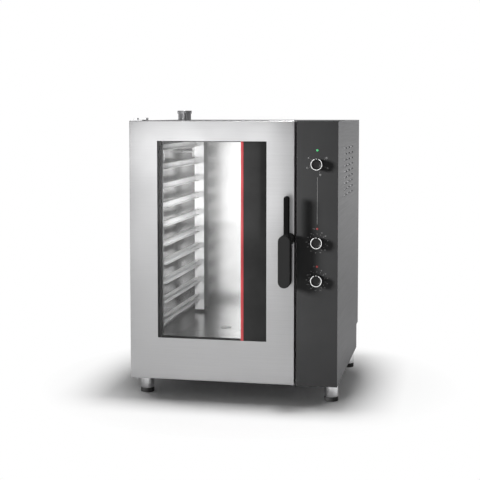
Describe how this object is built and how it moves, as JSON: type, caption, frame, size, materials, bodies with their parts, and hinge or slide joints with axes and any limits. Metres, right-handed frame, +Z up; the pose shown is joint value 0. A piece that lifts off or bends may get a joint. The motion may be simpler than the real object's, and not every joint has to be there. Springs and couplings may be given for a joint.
{
  "type": "combi steamer oven",
  "caption": "Free-standing electric combi steamer oven with a side-hung glazed door, pan racks, twin fans and rotary controls.",
  "frame": {"origin": "on the table surface, at the middle of the width and of the overall depth", "axes": "+Z up, +Y to the back (the door faces -Y), +X to the right seen from the front"},
  "size_m": [0.75, 0.81, 1.04],
  "materials": {
    "brushed_steel": "fine horizontal brushing, satin",
    "chamber_steel": "bright satin",
    "cabinet_steel": "satin",
    "panel_grey": "smooth satin",
    "side_grey": "satin",
    "black_plastic": "fine moulded",
    "black_print": "gloss",
    "bright_steel": "polished",
    "glass": "clear",
    "seal_rubber": "matt",
    "knob_ring": "satin",
    "green_lens": "translucent",
    "red_lens": "translucent",
    "motor_grey": "cast",
    "wool": "mineral wool",
    "ivory_plastic": "moulded",
    "brass": "turned"
  },
  "bodies": {
    "cabinet": {"base_tray": "cabinet_steel", "top_panel": "cabinet_steel", "side_panel_left": "brushed_steel", "side_panel_right": "side_grey", "rear_panel": "cabinet_steel", "rear_cover": "cabinet_steel", "front_frame": "chamber_steel", "partition": "cabinet_steel", "cavity_shell": "chamber_steel", "insulation": "wool", "door_seal": "seal_rubber", "fan_baffle": "chamber_steel", "rack_studs": "chamber_steel", "fan_motors": "motor_grey", "heaters": "cabinet_steel", "steam_pipe": "bright_steel", "water_valve": "ivory_plastic", "drain_pipe": "cabinet_steel", "vent_pipe": "bright_steel", "vent_cap": "bright_steel", "cooling_fan_frame": "black_plastic", "terminal_block": "ivory_plastic", "contactors": "black_plastic", "rotary_switches": "ivory_plastic", "lamp_housing": "cabinet_steel", "lamp_lens": "glass", "cable_gland": "black_plastic", "control_panel": "panel_grey", "indicator_green": "green_lens", "indicators_red": "red_lens", "latch_keeper": "bright_steel", "hinge_brackets": "cabinet_steel", "hinge_pins": "bright_steel", "leg_tubes": "bright_steel"},
    "door": {"door_skin": "brushed_steel", "door_inner": "chamber_steel", "glass_panes": "glass", "glass_print": "black_print", "glass_spacer": "seal_rubber", "hinge_bushings": "brass"},
    "door_handle": {"handle": "black_plastic", "latch_cam": "bright_steel"},
    "mode_knob": {"knob_mode": "black_plastic", "knob_ring_mode": "knob_ring"},
    "timer_knob": {"knob_timer": "black_plastic", "knob_ring_timer": "knob_ring"},
    "temperature_knob": {"knob_temperature": "black_plastic", "knob_ring_temperature": "knob_ring"},
    "upper_fan": {"fan_wheel_upper": "chamber_steel"},
    "lower_fan": {"fan_wheel_lower": "chamber_steel"},
    "cooling_fan": {"cooling_fan_wheel": "black_plastic"},
    "left_rack": {"rack_left": "bright_steel", "rails_left": "bright_steel"},
    "right_rack": {"rack_right": "bright_steel", "rails_right": "bright_steel"},
    "strainer": {"drain_strainer": "bright_steel"},
    "front_left_foot": {"foot_front_left": "black_plastic"},
    "front_right_foot": {"foot_front_right": "black_plastic"},
    "back_left_foot": {"foot_back_left": "black_plastic"},
    "back_right_foot": {"foot_back_right": "black_plastic"}
  },
  "joints": [
    {"name": "door_swing", "type": "hinge", "parent": "cabinet", "child": "door", "pos_m": [-0.357, -0.31, 0.538], "axis": [0, 0, -1], "range_deg": [0, 120]},
    {"name": "handle_turn", "type": "hinge", "parent": "door", "child": "door_handle", "pos_m": [0.207, -0.36, 0.592], "axis": [0, 1, 0], "range_deg": [0, 60]},
    {"name": "mode_turn", "type": "hinge", "parent": "cabinet", "child": "mode_knob", "pos_m": [0.303, -0.354, 0.853], "axis": [0, 1, 0], "range_deg": [0, 300]},
    {"name": "timer_turn", "type": "hinge", "parent": "cabinet", "child": "timer_knob", "pos_m": [0.303, -0.354, 0.581], "axis": [0, 1, 0], "range_deg": [-30, 300]},
    {"name": "temperature_turn", "type": "hinge", "parent": "cabinet", "child": "temperature_knob", "pos_m": [0.303, -0.354, 0.449], "axis": [0, 1, 0], "range_deg": [0, 300]},
    {"name": "upper_fan_spin", "type": "hinge", "parent": "cabinet", "child": "upper_fan", "pos_m": [0.15, 0.01, 0.765], "axis": [1, 0, 0], "continuous": true},
    {"name": "lower_fan_spin", "type": "hinge", "parent": "cabinet", "child": "lower_fan", "pos_m": [0.15, 0.01, 0.397], "axis": [1, 0, 0], "continuous": true},
    {"name": "cooling_fan_spin", "type": "hinge", "parent": "cabinet", "child": "cooling_fan", "pos_m": [0.3, 0.331, 0.56], "axis": [0, 1, 0], "continuous": true},
    {"name": "left_rack_lift", "type": "slide", "parent": "cabinet", "child": "left_rack", "axis": [0, 0, 1], "range_m": [0, 0.012]},
    {"name": "right_rack_lift", "type": "slide", "parent": "cabinet", "child": "right_rack", "axis": [0, 0, 1], "range_m": [0, 0.012]},
    {"name": "strainer_lift", "type": "slide", "parent": "cabinet", "child": "strainer", "axis": [0, 0, 1], "range_m": [0, 0.06]},
    {"name": "front_left_foot_turn", "type": "hinge", "parent": "cabinet", "child": "front_left_foot", "pos_m": [-0.3425, -0.234, 0.02], "axis": [0, 0, 1], "continuous": true},
    {"name": "front_right_foot_turn", "type": "hinge", "parent": "cabinet", "child": "front_right_foot", "pos_m": [0.3425, -0.234, 0.02], "axis": [0, 0, 1], "continuous": true},
    {"name": "back_left_foot_turn", "type": "hinge", "parent": "cabinet", "child": "back_left_foot", "pos_m": [-0.3425, 0.316, 0.02], "axis": [0, 0, 1], "continuous": true},
    {"name": "back_right_foot_turn", "type": "hinge", "parent": "cabinet", "child": "back_right_foot", "pos_m": [0.3425, 0.316, 0.02], "axis": [0, 0, 1], "continuous": true}
  ]
}
